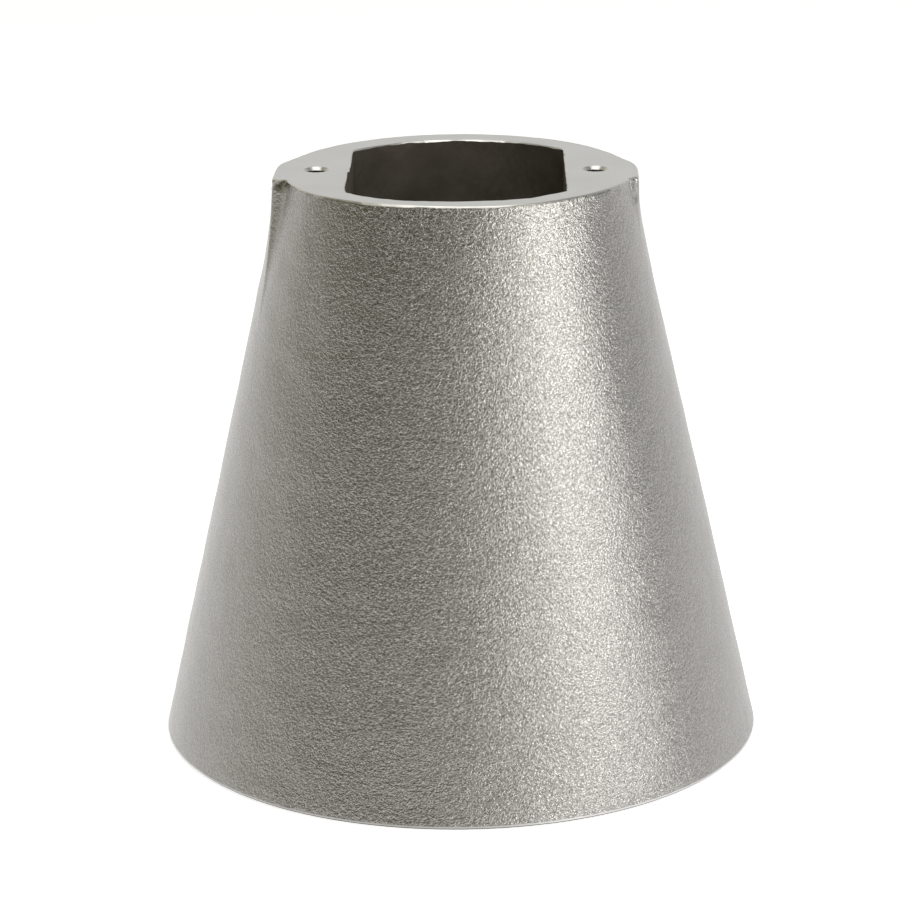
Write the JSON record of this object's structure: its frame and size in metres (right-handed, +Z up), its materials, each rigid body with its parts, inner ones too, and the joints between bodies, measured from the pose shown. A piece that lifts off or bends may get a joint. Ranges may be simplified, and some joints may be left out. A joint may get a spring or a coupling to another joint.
{
  "type": "stanchion base",
  "caption": "Hollow cast cone that stands a boat's stanchion on deck: flat-sided socket in the machined top, screw lugs beside it, threaded bosses inside the foot for bolts from below.",
  "frame": {"origin": "centre of the foot, on the deck face", "axes": "+Z up the cone's axis, out of the socket; X through the two screw holes in the lugs; Y along the socket's flat sides"},
  "size_m": [0.1206, 0.1206, 0.115],
  "materials": {
    "cast_aluminium": "sand cast and bead blasted, with the top face and the foot machined",
    "stainless_wire": "drawn wire"
  },
  "bodies": {
    "root": {"body_casting": "cast_aluminium", "top_insert_left": "stainless_wire", "top_insert_right": "stainless_wire", "deck_insert_front_left": "stainless_wire", "deck_insert_front_right": "stainless_wire", "deck_insert_rear_left": "stainless_wire", "deck_insert_rear_right": "stainless_wire"}
  },
  "joints": []
}
